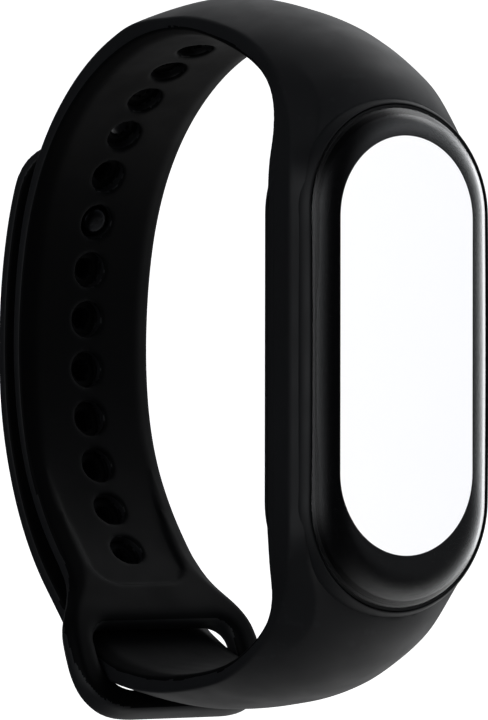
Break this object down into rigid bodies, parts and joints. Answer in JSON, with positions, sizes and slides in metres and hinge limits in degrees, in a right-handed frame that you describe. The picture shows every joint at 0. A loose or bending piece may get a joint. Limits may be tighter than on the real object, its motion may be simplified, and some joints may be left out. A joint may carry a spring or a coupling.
{
  "type": "fitness tracker band",
  "caption": "Wrist activity tracker: pill-shaped capsule with a curved glass face, held in a soft one-piece strap with a loop, a row of stepped holes and a push-in stud.",
  "frame": {"origin": "centre of the closed band's wrist opening", "axes": "+X along the wrist, -Y out of the screen, +Z towards the screen's top"},
  "size_m": [0.023, 0.0594, 0.0687],
  "materials": {
    "strap_elastomer": "satin moulded elastomer",
    "stud_metal": "dark polished",
    "cover_glass": "polished, curved edge",
    "black_ink": "black print",
    "display": "blank lit display",
    "adhesive": "foam tape",
    "flex_polyimide": "amber film",
    "capsule_plastic": "fine satin",
    "sensor_glass": "dark polished window",
    "circuit_board": "solder mask",
    "led_package": "clear lens over green emitter",
    "chip_black": "moulded epoxy",
    "soft_black": "matt",
    "contact_gold": "gold plated",
    "magnet_nickel": "nickel plated",
    "can_steel": "tinned",
    "battery_foil": "laminate pouch",
    "weight_metal": "sintered tungsten"
  },
  "bodies": {
    "band": {"strap": "strap_elastomer"},
    "tail": {"strap_tail": "strap_elastomer", "closure_stud": "stud_metal"},
    "capsule": {"cover_glass": "cover_glass", "bezel_mask": "black_ink", "display_panel": "display", "display_gasket": "adhesive", "display_flex": "flex_polyimide", "capsule_housing": "capsule_plastic", "back_cover": "capsule_plastic", "sensor_window": "sensor_glass", "sensor_board": "circuit_board", "sensor_leds": "led_package", "photodiodes": "chip_black", "light_barrier": "soft_black", "sensor_flex": "flex_polyimide", "charge_contacts": "contact_gold", "contact_pins": "contact_gold", "charge_magnets": "magnet_nickel", "main_board": "circuit_board", "processor_chip": "chip_black", "memory_chip": "chip_black", "motion_sensor": "chip_black", "power_chip": "chip_black", "crystals": "can_steel", "shield_can": "can_steel", "battery_cell": "battery_foil", "battery_adhesive": "adhesive", "protection_board": "circuit_board", "motor_can": "can_steel", "motor_cradle": "soft_black", "antenna_strip": "contact_gold"},
    "rotor": {"motor_shaft": "can_steel", "eccentric_weight": "weight_metal"}
  },
  "joints": [
    {"name": "tail_peel", "type": "hinge", "parent": "band", "child": "tail", "pos_m": [0, 0.02395, 0.00385], "axis": [-1, 0, 0], "range_deg": [0, 35], "stiffness_Nm_per_rad": 0.004},
    {"name": "capsule_release", "type": "slide", "parent": "band", "child": "capsule", "axis": [0, -1, 0], "range_m": [0, 0.016]},
    {"name": "motor_spin", "type": "hinge", "parent": "capsule", "child": "rotor", "pos_m": [0, -0.0265, 0.0166], "axis": [1, 0, 0], "continuous": true}
  ]
}
